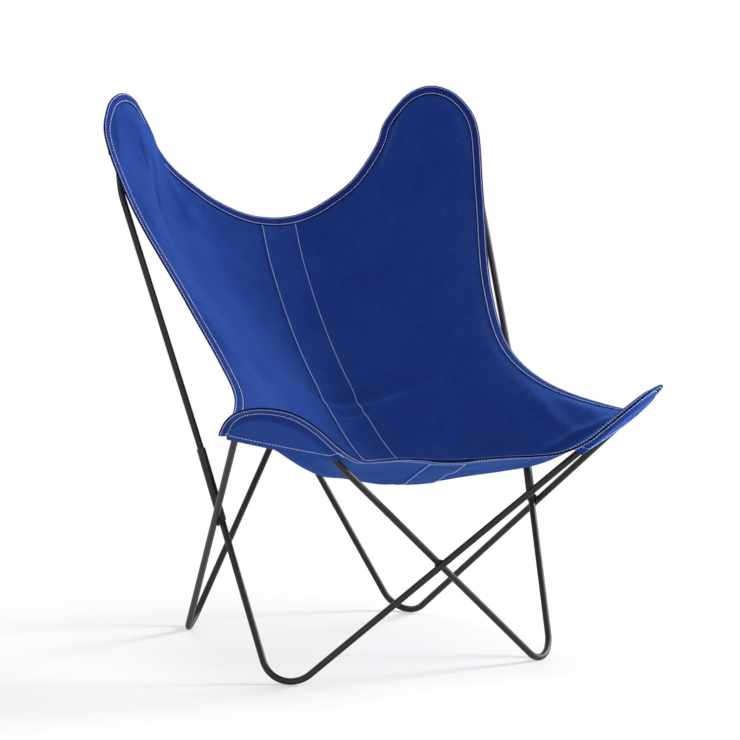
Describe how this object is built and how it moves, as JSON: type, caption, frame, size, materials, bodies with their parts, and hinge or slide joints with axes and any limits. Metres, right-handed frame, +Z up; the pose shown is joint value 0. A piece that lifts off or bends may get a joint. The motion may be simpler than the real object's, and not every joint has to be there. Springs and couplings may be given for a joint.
{
  "type": "sling chair",
  "caption": "Low lounge chair: a canvas sling with a pocket at each corner hangs on the horns of a demountable frame of bent steel rod.",
  "frame": {"origin": "on the floor, under the middle of the chair's bounding box", "axes": "+Z up, -Y towards the front of the seat, +X to the right of someone who looks at the chair's front"},
  "size_m": [0.7572, 0.8128, 0.9151],
  "materials": {
    "frame": "black powder coat, satin",
    "weld": "black powder coat over a weld bead, satin",
    "canvas": "blue cotton canvas, matt",
    "hem": "blue cotton canvas folded and stitched, matt"
  },
  "bodies": {
    "root": {"base_rod_left": "frame", "back_hairpin_left": "frame", "side_sleeve_left": "frame", "rear_sleeve_left": "frame", "side_sleeve_weld_left": "weld", "rear_sleeve_weld_left": "weld", "side_crossing_weld_left": "weld", "sling_panel_left": "canvas", "edge_hem_left": "hem", "front_pocket_left": "canvas", "back_pocket_left": "canvas", "base_rod_right": "frame", "back_hairpin_right": "frame", "side_sleeve_right": "frame", "rear_sleeve_right": "frame", "side_sleeve_weld_right": "weld", "rear_sleeve_weld_right": "weld", "side_crossing_weld_right": "weld", "sling_panel_right": "canvas", "edge_hem_right": "hem", "front_pocket_right": "canvas", "back_pocket_right": "canvas", "front_crossing_weld": "weld", "rear_crossing_weld": "weld", "centre_strip": "canvas"}
  },
  "joints": []
}
